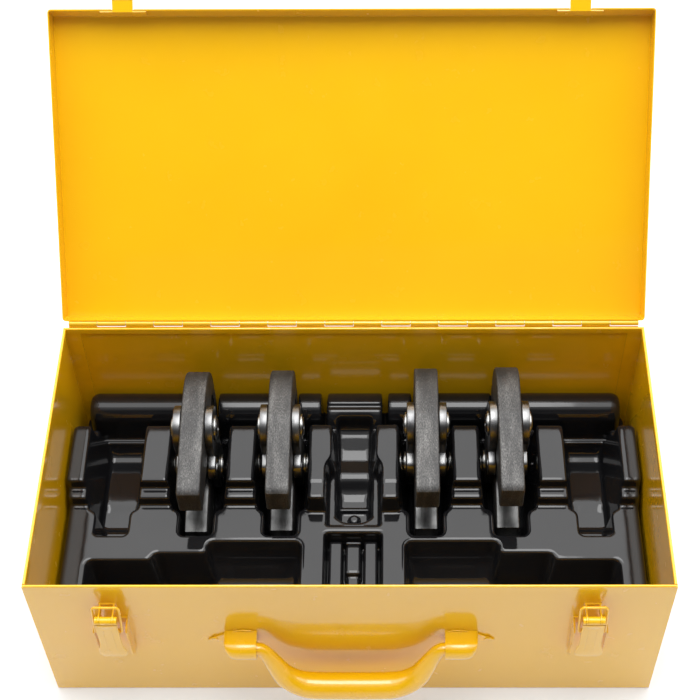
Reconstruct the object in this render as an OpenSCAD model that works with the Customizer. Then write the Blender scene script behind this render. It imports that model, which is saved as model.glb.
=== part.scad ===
// Sheet-steel carrying case for a pipe-pressing kit: hinged lid, two draw latches,
// a folding bow handle, a formed plastic insert with six slots and four pressing tongs.
// Origin: centre of the case's underside. +X is the case's right, -Y its front, +Z up.

/* [Case] */
// Outside width of the case
case_w = 500; // [460:1:540]
// Outside depth of the case
case_d = 259; // [255:1:265]
// Height of the body, from the floor to its rim
case_h = 168.5; // [160:0.5:175]
// Thickness of the sheet steel
sheet_t = 1; // [0.8:0.1:1.2]
// Height of the folded hem along the body's rim
hem_h = 6; // [4:0.5:8]
// Thickness of the folded hem
hem_t = 2.4; // [2.2:0.1:3]

/* [Lid] */
// Depth of the lid's flanges
lid_h = 20; // [16:1:24]
// How far the front flange's edge leans out past the lid's plate
lid_splay = 4.8; // [1:0.2:6]
// How far the lid stands open, from closed
lid_open = 130; // [0:1:130]

/* [Hinge] */
// Outer radius of the hinge's knuckles
knuckle_r = 2.2; // [2:0.1:2.5]
// Radius of the hinge pin
hinge_pin_r = 1; // [0.8:0.1:1.1]
// Number of knuckles along the hinge
knuckles = 20; // [10:2:30]

/* [Latches] */
// Distance of each latch from the middle of the case
latch_x = 188; // [170:1:200]
// Height of the latch lever's pivot
latch_pivot_z = 141; // [138:0.1:141]
// Radius of the bail's wire
bail_wire_r = 1.15; // [1:0.05:1.15]

/* [Handle] */
// Height of the handle's pivot
handle_z = 92.5; // [85:0.5:100]
// How far the handle leans out from straight down
handle_lean = 14; // [0:1:30]

/* [Tongs] */
// Distance between the two pivot pins of a tong
pin_spacing = 65; // [60:1:66]
// Thickness of the tong's levers
lever_t = 20; // [18:0.5:22]
// Thickness of each side plate
plate_t = 6.5; // [5:0.5:7]
// Radius of the pivot pins
pin_r = 8; // [7:0.5:9]
// Radius of the hole for the machine's retaining bolt
bolt_hole_r = 7.1; // [6:0.1:7.5]
// How far the tongs' noses are tilted up in the case
tong_tilt = 5; // [3:1:7]
// Radius of the pressing mouth, tong by tong
mouth_r = [14, 11, 9, 7.5]; // [7:0.5:15]

/* [Insert] */
// Thickness of the formed sheet
tray_t = 2; // [1.5:0.5:2]
// Height of the dividers between the slots
divider_z = 95; // [90:1:98]
// Height of the flat front part
deck_z = 75; // [70:1:78]
// Height of the rounded bar along the back
ridge_z = 88; // [84:1:90]
// Height of the slots' floors
slot_floor_z = 34; // [25:1:34]

/* [Hidden] */

$fn = 48;
paint = [0.98, 0.74, 0.05];
steel = [0.72, 0.72, 0.72];
forging = [0.34, 0.34, 0.35];
black = [0.08, 0.08, 0.09];

front_y = -case_d / 2;
back_y = case_d / 2;
side_x = case_w / 2;
bend_r = 3;
seat_gap = 0.5;             // between the body's rim and the closed lid
lap_gap = 0.02;             // between sheets that lie on each other in one body
flange_w = 14;              // the end panels' welding flanges

hinge_y = back_y + knuckle_r + 0.1;
hinge_z = case_h + 2;
hinge_len = case_w - 10;
knuckle_gap = 0.4;
knuckle_l = hinge_len / knuckles;
leaf_t = 0.8;
leaf_h = 16;

// ------------------------------------------------------------------ helpers

// An outline in the Y-Z plane, given as (y, z), extruded along X and centred on it.
module along_x(length) {
    rotate([90, 0, 90])
        linear_extrude(length, center = true)
            children();
}

// A rod along X, centred on x = 0.
module rod_x(r, length) {
    rotate([0, 90, 0])
        cylinder(r = r, h = length, center = true);
}

// A box given by its lowest and highest corners.
module span(low, high) {
    translate(low)
        cube(high - low);
}

// A rectangle with its lower corners rounded.
module trough_outline(y_half, z_low, z_high, r) {
    translate([-y_half, z_low + r])
        square([2 * y_half, z_high - z_low - r]);
    translate([-y_half + r, z_low])
        square([2 * (y_half - r), r + 1]);
    for (side = [-1, 1])
        translate([side * (y_half - r), z_low + r])
            circle(r);
}

// A straight bar from one point to another, with a radius at each and a ball at its end.
module limb(from, to, r_from, r_to) {
    v = to - from;
    len = norm(v);
    translate(from)
        rotate([0, acos(v[2] / len), atan2(v[1], v[0])])
            cylinder(r1 = r_from, r2 = r_to, h = len);
    translate(to)
        sphere(r_to + 0.03);
}

// ------------------------------------------------------------------ case body

// Folded hem on a wall's top edge; the wall's outer face is at `wall`, inside is `dir`.
module hem_outline(wall, dir) {
    mid = wall + dir * hem_t / 2;
    translate([mid - hem_t / 2, case_h - hem_h])
        square([hem_t, hem_h - hem_t / 2]);
    translate([mid, case_h - hem_t / 2])
        circle(hem_t / 2);
}

// Front, floor and back in one bent sheet.
module body_wrap() {
    color(paint)
        along_x(case_w - 2 * sheet_t - 2 * lap_gap) {
            difference() {
                trough_outline(back_y, 0, case_h - 1, bend_r);
                trough_outline(back_y - sheet_t, sheet_t, case_h, bend_r - sheet_t);
            }
            hem_outline(front_y, 1);
            hem_outline(back_y, -1);
        }
}

// End panel for the +X side: a plate with flanges lapped inside the wrap.
module end_panel() {
    lap = sheet_t + lap_gap;
    r = bend_r - sheet_t;
    hem_y = back_y - hem_t - 0.2;
    difference() {
        translate([side_x - flange_w / 2, 0, 0])
            along_x(flange_w)
                trough_outline(back_y - lap, lap, case_h - hem_h - 0.3, r);
        translate([side_x - flange_w / 2 - sheet_t, 0, 0])
            along_x(flange_w)
                trough_outline(back_y - lap - sheet_t, lap + sheet_t, case_h, r - sheet_t / 2);
    }
    // the panel's own edge covers the wrap's sheet ends
    translate([side_x - sheet_t / 2, 0, 0])
        along_x(sheet_t)
            trough_outline(back_y, 0, case_h - hem_h, bend_r);
    span([side_x - hem_t, -hem_y, case_h - hem_h - 0.3], [side_x, hem_y, case_h - hem_t / 2]);
    translate([side_x - hem_t / 2, 0, case_h - hem_t / 2])
        rotate([90, 0, 0])
            cylinder(r = hem_t / 2, h = 2 * hem_y, center = true);
    span([side_x - sheet_t, -back_y, case_h - hem_h - 0.3], [side_x, back_y, case_h - 1]);
}

module end_panel_right() {
    color(paint)
        end_panel();
}

module end_panel_left() {
    color(paint)
        mirror([1, 0, 0])
            end_panel();
}

// ------------------------------------------------------------------ lid and hinge

// Turns what is drawn closed to the open lid's place.
module on_lid() {
    translate([0, hinge_y, hinge_z])
        rotate([-lid_open, 0, 0])
            translate([0, -hinge_y, -hinge_z])
                children();
}

keeper_w = 38;
tongue_w = 17;
tongue_t = 1.4;
lid_z = case_h + seat_gap;
notch_h = 2.2;

module rounded_plan(half_x, half_y, r) {
    square([2 * half_x, 2 * (half_y - r)], center = true);
    square([2 * (half_x - r), 2 * half_y], center = true);
    for (sx = [-1, 1], sy = [-1, 1])
        translate([sx * (half_x - r), sy * (half_y - r)])
            circle(r);
}

// The lid's outer block, or with t > 0 the hollow inside it; its front leans by the splay.
module lid_block(t, low, high) {
    lean = lid_splay / lid_h;
    intersection() {
        translate([0, 0, low])
            linear_extrude(high - low)
                rounded_plan(side_x - t, back_y - t, bend_r - t);
        along_x(2 * side_x + 2)
            polygon([[front_y + t + lean * (low - lid_z), low],
                [back_y + 1, low], [back_y + 1, high],
                [front_y + t + lean * (high - lid_z), high]]);
    }
}

module lid_shell() {
    color(paint)
        on_lid()
            difference() {
                lid_block(0, lid_z, lid_z + lid_h);
                lid_block(sheet_t, lid_z - 1, lid_z + lid_h - sheet_t);
                for (side = [-1, 1])
                    translate([side * latch_x, front_y, lid_z])
                        cube([tongue_w + 1, 8, 2 * notch_h], center = true);
            }
}

// Half of the knuckles, with the plate that carries them. up is 1 for the lid's leaf.
module hinge_leaf(first, up, bore_r) {
    face_y = back_y + lap_gap;
    plate_low = up > 0 ? hinge_z + knuckle_r + 0.3 : hinge_z - knuckle_r - 0.3 - leaf_h;
    difference() {
        union() {
            span([-hinge_len / 2, face_y, plate_low],
                [hinge_len / 2, face_y + leaf_t, plate_low + leaf_h]);
            for (i = [first : 2 : knuckles - 1]) {
                mid = -hinge_len / 2 + (i + 0.5) * knuckle_l;
                translate([mid, hinge_y, hinge_z])
                    rod_x(knuckle_r, knuckle_l - knuckle_gap);
                translate([mid, face_y + leaf_t / 2, hinge_z + up * (knuckle_r + 1) / 2])
                    cube([knuckle_l - knuckle_gap, leaf_t, knuckle_r + 1], center = true);
            }
        }
        translate([0, hinge_y, hinge_z])
            rod_x(bore_r, hinge_len + 2);
    }
}

module hinge_body_leaf() {
    color(paint)
        hinge_leaf(0, -1, hinge_pin_r + lap_gap);
}

module hinge_lid_leaf() {
    color(paint)
        on_lid()
            hinge_leaf(1, 1, hinge_pin_r + 0.06);
}

module hinge_pin() {
    color(steel)
        translate([0, hinge_y, hinge_z])
            rod_x(hinge_pin_r, hinge_len - 1);
}

// Plate inside the lid's leaning front flange, with a tongue that passes under the
// flange's edge and turns up outside it.
module keeper(x) {
    inner_y = front_y + sheet_t + 0.1;
    reach = 8;
    low_z = lid_z + 0.3;
    on_lid()
        translate([x, 0, 0]) {
            translate([0, inner_y, low_z])
                rotate([-atan(lid_splay / lid_h), 0, 0])
                    span([-keeper_w / 2, 0, 0.3], [keeper_w / 2, 1.2, 12]);
            span([-tongue_w / 2, front_y - reach, low_z],
                [tongue_w / 2, inner_y + 1.2, low_z + tongue_t]);
            span([-tongue_w / 2, front_y - reach - tongue_t, low_z + 1],
                [tongue_w / 2, front_y - reach, low_z + 6]);
            translate([0, front_y - reach, low_z + 1])
                rod_x(tongue_t, tongue_w);
        }
}

module keeper_left() {
    color(paint)
        keeper(-latch_x);
}

module keeper_right() {
    color(paint)
        keeper(latch_x);
}

// ------------------------------------------------------------------ latches

// The latch is drawn about x = 0. The lever hangs from its pivot at the top, between the
// cheeks of the base; the wire bail stands up from the lever's own ears.
latch_axis_y = front_y - 14;
bail_axis_y = front_y - 14;
bail_axis_z = latch_pivot_z - 17;
bail_top_y = front_y - 8;
bail_top_z = latch_pivot_z + 9.5;
bail_leg_x = 10.3;
curl_r = 3.3;
latch_pin_r = 1.4;
cheek_x = 12.7;             // middle of each cheek
cheek_t = 1.2;
ear_x = 5.4;
ear_t = 1.2;
base_t = 1.2;
base_low = 70;
base_high = 124;
base_rivets = [78, 112];

module latch_base(x) {
    translate([x, 0, 0])
        difference() {
            union() {
                span([-cheek_x - cheek_t / 2, front_y - base_t - lap_gap, base_low],
                    [cheek_x + cheek_t / 2, front_y - lap_gap, base_high]);
                span([-ear_x - ear_t, front_y - base_t - lap_gap, base_high - 1],
                    [ear_x + ear_t, front_y - lap_gap, latch_pivot_z + curl_r]);
                for (side = [-1, 1]) {
                    translate([side * cheek_x, 0, 0])
                        along_x(cheek_t) {
                            polygon([[front_y - lap_gap, base_low],
                                [front_y - 4, base_low], [front_y - 11.5, base_low + 12],
                                [front_y - 12.5, base_low + 42],
                                [front_y - 12.5, base_high - 5],
                                [front_y - 9.5, base_high - 2],
                                [front_y - lap_gap, base_high - 2]]);
                        }
                    translate([side * ear_x, 0, 0])
                        along_x(ear_t) {
                            translate([latch_axis_y, latch_pivot_z - curl_r + 0.5])
                                square([14 - lap_gap, 2 * curl_r - 0.5]);
                            translate([latch_axis_y, latch_pivot_z])
                                circle(curl_r);
                        }
                }
            }
            translate([0, latch_axis_y, latch_pivot_z])
                rod_x(latch_pin_r + lap_gap, 40);
            for (z = base_rivets)
                translate([0, front_y, z])
                    rotate([90, 0, 0])
                        cylinder(r = 1.6, h = 10, center = true);
        }
}

// Lever: rolled over the pivot at its top, widening to its free lower end.
module latch_lever(x) {
    face_out = latch_axis_y - curl_r;
    plate = 1.2;
    top_half = 8.6;
    tip_half = 10.8;
    tip_z = 90;
    top_z = latch_pivot_z - curl_r - 0.2;
    translate([x, 0, 0])
        difference() {
            union() {
                translate([0, face_out + plate, 0])
                    rotate([90, 0, 0])
                        linear_extrude(plate)
                            polygon([[-top_half, top_z], [top_half, top_z], [top_half, 110],
                                [tip_half, tip_z + 6], [tip_half - 3, tip_z],
                                [-tip_half + 3, tip_z], [-tip_half, tip_z + 6],
                                [-top_half, 110]]);
                // rolled ends: one between the base's ears and one outside each of them
                for (roll = [[0, 9], [-7.4, 2.4], [7.4, 2.4]]) {
                    translate([roll[0], latch_axis_y, latch_pivot_z])
                        rod_x(curl_r, roll[1]);
                    span([roll[0] - roll[1] / 2, face_out, top_z - 1],
                        [roll[0] + roll[1] / 2, face_out + plate, latch_pivot_z]);
                }
                for (side = [-1, 1])
                    span([side * 8 - 0.6, face_out, bail_axis_z - 4],
                        [side * 8 + 0.6, bail_axis_y + 2.8, bail_axis_z + 4]);
            }
            translate([0, latch_axis_y, latch_pivot_z])
                rod_x(latch_pin_r + 0.06, 40);
            translate([0, bail_axis_y, bail_axis_z])
                rod_x(bail_wire_r + 0.06, 40);
        }
}

module latch_pin(x) {
    translate([x, latch_axis_y, latch_pivot_z])
        rod_x(latch_pin_r, 17);
}

// Wire loop: two trunnions through the lever's ears, two legs and a top bar.
module latch_bail(x) {
    translate([x, 0, 0]) {
        for (side = [-1, 1]) {
            translate([side * 8.9, bail_axis_y, bail_axis_z])
                rod_x(bail_wire_r, 3.2);
            translate([side * bail_leg_x, bail_axis_y, bail_axis_z])
                sphere(bail_wire_r + 0.03);
            limb([side * bail_leg_x, bail_axis_y, bail_axis_z],
                [side * bail_leg_x, bail_top_y, bail_top_z - 2], bail_wire_r, bail_wire_r);
            limb([side * bail_leg_x, bail_top_y, bail_top_z - 2],
                [side * (bail_leg_x - 2), bail_top_y, bail_top_z], bail_wire_r, bail_wire_r);
        }
        translate([0, bail_top_y, bail_top_z])
            rod_x(bail_wire_r, 2 * (bail_leg_x - 2));
    }
}

module latch_base_left() {
    color(paint)
        latch_base(-latch_x);
}

module latch_base_right() {
    color(paint)
        latch_base(latch_x);
}

module latch_lever_left() {
    color(paint)
        latch_lever(-latch_x);
}

module latch_lever_right() {
    color(paint)
        latch_lever(latch_x);
}

module latch_pin_left() {
    color(steel)
        latch_pin(-latch_x);
}

module latch_pin_right() {
    color(steel)
        latch_pin(latch_x);
}

module latch_bail_left() {
    color(paint)
        latch_bail(-latch_x);
}

module latch_bail_right() {
    color(paint)
        latch_bail(latch_x);
}

module latch_rivets() {
    color(steel)
        for (side = [-1, 1], z = base_rivets)
            translate([side * latch_x, front_y - base_t - lap_gap, z])
                rotate([90, 0, 0]) {
                    translate([0, 0, 0.02])
                        cylinder(r1 = 2.8, r2 = 2, h = 1);
                    translate([0, 0, -1.1])
                        cylinder(r = 1.58, h = 1.3);
                }
}

// ------------------------------------------------------------------ handle

handle_y = front_y - 12;
barrel_r = 8.5;
barrel_in = 74.7;            // inner end of each bracket's barrel, from the middle
barrel_out = 101;
trunnion_r = 5.5;
// Centre line of the +X half from the middle out: distance, drop below the pivot, radius.
arm = [[24, 43.8, 11.2], [34, 43.3, 11.1], [42, 40.6, 10.4], [49, 36, 9.8], [54.5, 30, 9],
    [58.5, 23, 8], [62, 16, 7.1], [65.5, 9, 6.2], [68.5, 3.8, 5.6], [71.3, 0.9, 5.3],
    [73.3, 0, 5.2], [79, 0, 5.2]];
// The whole bow, from the -X end to the +X end
bow = [for (i = [len(arm) - 1 : -1 : 0]) [-arm[i][0], arm[i][1], arm[i][2]], each arm];
bow_sides = 24;

// Sheet bracket of the +X side: flange on the front, wrapped round the trunnion.
module handle_bracket() {
    mid = (barrel_in + barrel_out) / 2;
    len = barrel_out - barrel_in;
    difference() {
        union() {
            translate([mid, handle_y, handle_z])
                rod_x(barrel_r, len);
            span([barrel_in, front_y - 12, handle_z - 6],
                [barrel_out, front_y - lap_gap, handle_z + barrel_r]);
            translate([0, front_y - lap_gap, 0])
                rotate([90, 0, 0])
                    linear_extrude(1.5)
                        polygon([[barrel_in, 84], [barrel_out, 84], [115, 86], [115, 90],
                            [barrel_out, 104], [barrel_in, 104]]);
        }
        translate([mid - 3, handle_y, handle_z])
            rod_x(trunnion_r + 0.06, len);
        translate([109, front_y, 90])
            rotate([90, 0, 0])
                cylinder(r = 1.6, h = 10, center = true);
        translate([88, front_y, 100])
            rotate([90, 0, 0])
                cylinder(r = 1.6, h = 4, center = true);
    }
}

module handle_bracket_right() {
    color(paint)
        handle_bracket();
}

module handle_bracket_left() {
    color(paint)
        mirror([1, 0, 0])
            handle_bracket();
}

module handle_rivets() {
    color(paint)
        for (side = [-1, 1])
            translate([side * 109, front_y, 90])
                rotate([90, 0, 0]) {
                    translate([0, 0, 1.54])
                        cylinder(r1 = 2.8, r2 = 2, h = 0.9);
                    translate([0, 0, 0.05])
                        cylinder(r = 1.58, h = 1.6);
                }
}

// A solid tube along a path of [x, drop, radius] that lies in the X-Z plane.
module bent_tube(path, sides) {
    n = len(path);
    rings = [for (i = [0 : n - 1])
        let (before = path[max(i - 1, 0)], after = path[min(i + 1, n - 1)],
            turn = atan2(before[1] - after[1], after[0] - before[0]))
        for (k = [0 : sides - 1])
            let (a = 360 * k / sides, r = path[i][2])
            [path[i][0] - r * cos(a) * sin(turn), r * sin(a),
                -path[i][1] + r * cos(a) * cos(turn)]];
    walls = [for (i = [0 : n - 2], k = [0 : sides - 1])
        let (m = (k + 1) % sides)
        [i * sides + k, i * sides + m, (i + 1) * sides + m, (i + 1) * sides + k]];
    first = [for (k = [0 : sides - 1]) sides - 1 - k];
    last = [for (k = [0 : sides - 1]) (n - 1) * sides + k];
    polyhedron(rings, concat(walls, [first, last]), convexity = 4);
}

module handle_grip() {
    color(paint)
        translate([0, handle_y, handle_z])
            rotate([-handle_lean, 0, 0]) {
                bent_tube(bow, bow_sides);
                for (side = [-1, 1])
                    translate([side * 86, 0, 0])
                        rod_x(trunnion_r, 22);
            }
}

// ------------------------------------------------------------------ insert

tray_x = 243;
tray_front = front_y + 2.6;
tray_back = back_y - 2.6;
tray_foot = 2.5;
slot_xs = [-207, -134.5, -62.5, 62.5, 134.5, 207];
tong_xs = [-135.2, -61.8, 62.5, 132.3];
neck_xs = [slot_xs[0], for (x = tong_xs) x, slot_xs[5]];
// Each tong's middle between its pins: y and z. No two tongs lie quite alike in their slots.
tong_ys = [55.8, 56.6, 57.2, 57.7];
tong_zs = [93.5, 94.3, 96, 97];
// Low pads on a slot's floor carry the tong: distance in y from its middle, and how far
// below its middle the tong reaches there
pad_ys = [-35.4, 4.6];
pad_reach = [40 * sin(tong_tilt) + 50.5 * cos(tong_tilt), 52.5 * cos(tong_tilt)];
pad_half = [7, 3.5];
slot_half = 23.8;
neck_half = 14.6;
nose_half = 14.6;
slot_back = 98.5;
slot_wide_front = -6;
neck_front = -22.5;
divider_back = 78;
divider_front = 20.5;
step_front = 9.5;
step_z = 85;
ridge_mid_y = 112;
ridge_half = 237;
ridge_gap = 30;
ridge_r = 15;
hub_half = 24.5;
hub_r = 19;
// Front pockets of one side: inner x, outer x, back edge, floor height
pockets = [[46, 122, -30, 30], [128, 168, -41, 30], [173, 222, -48, 30]];
pocket_front = front_y + 14;

// Raised shapes of the insert, each grown by -t for the sheet's underside.
module raised(t) {
    span([-tray_x + t, tray_front + t, -1], [tray_x - t, tray_back - t, 60 - t]);
    span([-tray_x + t, tray_front + t, -1], [tray_x - t, step_front + 4 - t, deck_z - t]);
    span([-tray_x + t, step_front - 12, -1], [tray_x - t, step_front - t, step_z - t]);
    span([-240 + t, step_front - 14, -1], [240 - t, divider_front - t, step_z - t]);
    span([-240 + t, divider_front - 8 + t, -1], [240 - t, divider_back - t, divider_z - t]);
    for (side = [-1, 1]) {
        mid = side * (ridge_half + ridge_gap) / 2;
        len = ridge_half - ridge_gap - 2 * t;
        translate([mid, ridge_mid_y, ridge_z - ridge_r])
            rod_x(ridge_r - t, len);
        span([mid - len / 2, ridge_mid_y - ridge_r + t, 0],
            [mid + len / 2, ridge_mid_y + ridge_r - t, ridge_z - ridge_r]);
    }
    translate([0, ridge_mid_y - 4, ridge_z + 2 - hub_r])
        rod_x(hub_r - t, 2 * (hub_half - t));
    span([-hub_half + t, ridge_mid_y - 4 - hub_r + t, 0],
        [hub_half - t, ridge_mid_y - 4 + hub_r - t, ridge_z + 2 - hub_r]);
}

// Hollows of the insert, each grown by t.
module sunk(t) {
    difference() {
        union() {
            for (x = slot_xs)
                span([x - slot_half - t, slot_wide_front - t, slot_floor_z - t],
                    [x + slot_half + t, slot_back + t, 120]);
            for (x = neck_xs)
                span([x - neck_half - t, neck_front - t, slot_floor_z - t],
                    [x + neck_half + t, slot_wide_front + 1, 120]);
        }
        for (i = [0 : 3], k = [0, 1]) {
            x = tong_xs[i];
            y = tong_ys[i] + pad_ys[k];
            span([x - pad_half[0] + t, y - pad_half[1] + t, 0],
                [x + pad_half[0] - t, y + pad_half[1] - t,
                    tong_zs[i] - pad_reach[k] - 1.8 - t]);
        }
    }
    for (x = tong_xs)
        span([x - nose_half - t, slot_back - 1, 42 - t],
            [x + nose_half + t, tray_back - 1.2 + t / 2, 120]);
    for (side = [-1, 1], p = pockets) {
        a = side * p[0];
        b = side * p[1];
        span([min(a, b) - t, pocket_front - t, p[3] - t], [max(a, b) + t, p[2] + t, 120]);
    }
    // place for the press machine: neck between the dividers, round bowl, long trough
    span([-14 - t, 30, 52 - t], [14 + t, ridge_mid_y - 4 - hub_r - 2 + t, 120]);
    span([-27.5 - t, -4 - t, 46 - t], [27.5 + t, 43 + t, 120]);
    span([-25 - t, pocket_front - t, 40 - t], [25 + t, -2, 120]);
}

module insert_tray() {
    color(black)
        intersection() {
            difference() {
                raised(0);
                sunk(0);
                difference() {
                    raised(tray_t);
                    sunk(tray_t);
                }
            }
            span([-300, -200, tray_foot], [300, 200, 200]);
        }
}

// ------------------------------------------------------------------ tongs

// A tong is drawn about the point midway between its pins, with its nose towards +Y
// and its tail towards -Y, and each jaw symmetric to the other about the Y axis.
side_gap = 0.3;
plate_x = lever_t / 2 + side_gap;
boss_r = 20;
plate_r = 19;
bolt_y = -16;
tail_len = 73;
tail_gap = 18.8;
tail_top = 46.4;
nose_len = 63.5;
mouth_y = 38;
split = 0.2;                // half the gap between the closed jaws
ring_t = 1.6;

module on_tong(i) {
    translate([tong_xs[i], tong_ys[i], tong_zs[i]])
        rotate([tong_tilt, 0, 0])
            children();
}

// Outline of the upper jaw, in (y, z).
module jaw_outline(mouth) {
    pivot = pin_spacing / 2;
    difference() {
        union() {
            translate([0, pivot])
                circle(boss_r, $fn = 96);
            polygon([[-tail_len, tail_gap], [-40, 14], [-26, 12], [-4, 12], [6, 10], [14, split],
                [nose_len - 3, split], [nose_len, 4], [nose_len, 22], [40, 48.5], [20, 51.5],
                [0, pivot + boss_r], [-40, 50.5], [-tail_len + 3, tail_top],
                [-tail_len, tail_top - 3]]);
            translate([40, 24.5])
                intersection() {
                    circle(24, $fn = 96);
                    translate([0, -4])
                        square([30, 30]);
                }
        }
        translate([mouth_y, 0])
            circle(mouth, $fn = 72);
    }
}

module jaw(i) {
    difference() {
        along_x(lever_t)
            jaw_outline(mouth_r[i]);
        translate([0, 0, pin_spacing / 2])
            rod_x(pin_r + 0.05, lever_t + 2);
        // lead-in chamfers on both sides of the mouth
        for (side = [-1, 1])
            translate([side * (lever_t / 2 - 1), mouth_y, 0])
                rotate([0, side * 90, 0])
                    cylinder(r1 = mouth_r[i], r2 = mouth_r[i] + 1.2, h = 1.2);
    }
}

module upper_jaw(i) {
    color(forging)
        on_tong(i)
            jaw(i);
}

module lower_jaw(i) {
    color(forging)
        on_tong(i)
            mirror([0, 0, 1])
                jaw(i);
}

module side_plate(i, side) {
    color(steel)
        on_tong(i)
            translate([side * (plate_x + plate_t / 2), 0, 0])
                difference() {
                    along_x(plate_t) {
                        for (pin = [-1, 1])
                            translate([0, pin * pin_spacing / 2])
                                circle(plate_r, $fn = 96);
                        square([28, pin_spacing], center = true);
                        translate([bolt_y, 0])
                            circle(14, $fn = 72);
                        translate([bolt_y, -14])
                            square([14, 28]);
                    }
                    for (pin = [-1, 1])
                        translate([0, 0, pin * pin_spacing / 2])
                            rod_x(pin_r + lap_gap, plate_t + 2);
                    translate([0, bolt_y, 0])
                        rod_x(bolt_hole_r, plate_t + 2);
                }
}

module pins(i) {
    color(steel)
        on_tong(i)
            for (pin = [-1, 1])
                translate([0, 0, pin * pin_spacing / 2])
                    rod_x(pin_r, 2 * (plate_x + plate_t + 3));
}

// Open retaining rings, one on each end of each pin.
module rings(i) {
    color(steel)
        on_tong(i)
            for (pin = [-1, 1], side = [-1, 1])
                translate([side * (plate_x + plate_t + 0.1 + ring_t / 2), 0,
                    pin * pin_spacing / 2])
                    along_x(ring_t)
                        difference() {
                            circle(pin_r + 2.6);
                            circle(pin_r + lap_gap);
                            translate([0, -2])
                                square([20, 4]);
                        }
}

// Leg spring between the jaws: a coil and two legs that lie along their inner edges.
module spring(i) {
    wire = 0.9;
    coil_r = 5;
    coil_l = 9;
    color(steel)
        on_tong(i)
            translate([0, 1, 0]) {
                difference() {
                    rod_x(coil_r + wire, coil_l);
                    rod_x(coil_r - wire, coil_l + 2);
                    for (turn = [-2 : 1])
                        translate([(turn + 0.5) * 2 * wire, 0, 0])
                            difference() {
                                rod_x(coil_r + 2 * wire, 0.5);
                                rod_x(coil_r + wire / 3, 1);
                            }
                }
                for (side = [-1, 1])
                    translate([side * 3.6, 0, side * coil_r])
                        rotate([90 - side * 10.9, 0, 0])
                            cylinder(r = wire, h = 33);
            }
}

body_wrap();
end_panel_left();
end_panel_right();
lid_shell();
hinge_body_leaf();
hinge_lid_leaf();
hinge_pin();
keeper_left();
keeper_right();
latch_base_left();
latch_lever_left();
latch_pin_left();
latch_bail_left();
latch_base_right();
latch_lever_right();
latch_pin_right();
latch_bail_right();
latch_rivets();
handle_bracket_left();
handle_bracket_right();
handle_rivets();
handle_grip();
insert_tray();
upper_jaw(0);  // tong_1_upper_jaw
lower_jaw(0);  // tong_1_lower_jaw
side_plate(0, -1);  // tong_1_plate_left
side_plate(0, 1);  // tong_1_plate_right
pins(0);  // tong_1_pins
rings(0);  // tong_1_rings
spring(0);  // tong_1_spring
upper_jaw(1);  // tong_2_upper_jaw
lower_jaw(1);  // tong_2_lower_jaw
side_plate(1, -1);  // tong_2_plate_left
side_plate(1, 1);  // tong_2_plate_right
pins(1);  // tong_2_pins
rings(1);  // tong_2_rings
spring(1);  // tong_2_spring
upper_jaw(2);  // tong_3_upper_jaw
lower_jaw(2);  // tong_3_lower_jaw
side_plate(2, -1);  // tong_3_plate_left
side_plate(2, 1);  // tong_3_plate_right
pins(2);  // tong_3_pins
rings(2);  // tong_3_rings
spring(2);  // tong_3_spring
upper_jaw(3);  // tong_4_upper_jaw
lower_jaw(3);  // tong_4_lower_jaw
side_plate(3, -1);  // tong_4_plate_left
side_plate(3, 1);  // tong_4_plate_right
pins(3);  // tong_4_pins
rings(3);  // tong_4_rings
spring(3);  // tong_4_spring
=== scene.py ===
import math
import bpy
import bmesh
import numpy as np
from mathutils import Matrix, Vector


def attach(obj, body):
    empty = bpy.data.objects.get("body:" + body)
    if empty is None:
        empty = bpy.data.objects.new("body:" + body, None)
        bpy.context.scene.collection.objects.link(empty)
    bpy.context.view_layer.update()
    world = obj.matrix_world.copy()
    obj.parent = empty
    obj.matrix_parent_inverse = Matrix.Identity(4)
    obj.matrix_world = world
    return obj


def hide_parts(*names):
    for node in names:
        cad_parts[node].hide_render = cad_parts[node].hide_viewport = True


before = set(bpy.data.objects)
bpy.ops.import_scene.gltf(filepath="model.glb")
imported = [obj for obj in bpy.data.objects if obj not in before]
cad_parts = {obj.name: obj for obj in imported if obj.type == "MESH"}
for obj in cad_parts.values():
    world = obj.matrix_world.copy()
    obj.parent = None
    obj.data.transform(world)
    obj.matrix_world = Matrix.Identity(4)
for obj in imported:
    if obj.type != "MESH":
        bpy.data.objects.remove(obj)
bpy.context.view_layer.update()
MM = 0.001

# ------------------------------------------------------------------ camera, floor, lights

scene = bpy.context.scene


def look(azimuth_lean, elevation, roll):
    """Camera matrix columns (right, up, back) from angles in degrees."""
    a, e, r = (math.radians(v) for v in (azimuth_lean, elevation, roll))
    ahead = Vector((math.sin(a) * math.cos(e), math.cos(a) * math.cos(e), -math.sin(e)))
    right = Vector((math.cos(a), -math.sin(a), 0))
    up = right.cross(ahead)
    x = right * math.cos(r) + up * math.sin(r)
    y = up * math.cos(r) - right * math.sin(r)
    return Matrix((x, y, -ahead)).transposed()


camera = bpy.data.objects.new("camera", bpy.data.cameras.new("camera"))
scene.collection.objects.link(camera)
scene.camera = camera
camera.data.sensor_width = 36
camera.data.lens = 79.5
camera.data.shift_x = -0.0404
camera.data.shift_y = 0.1116
camera.data.clip_start = 0.05
camera.data.clip_end = 50
camera.matrix_world = (
    Matrix.Translation((0.0291, -0.7334, 1.1845)) @ look(-0.56, 53.41, -0.51).to_4x4()
)


def node_material(name):
    mat = bpy.data.materials.new(name)
    mat.use_nodes = True
    nodes, links = mat.node_tree.nodes, mat.node_tree.links
    shader = nodes["Principled BSDF"]
    return mat, nodes, links, shader


def object_coordinates(nodes, links, scale=(1, 1, 1)):
    coords = nodes.new("ShaderNodeTexCoord")
    mapping = nodes.new("ShaderNodeMapping")
    mapping.inputs["Scale"].default_value = scale
    links.new(coords.outputs["Object"], mapping.inputs["Vector"])
    return mapping.outputs["Vector"]


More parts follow.
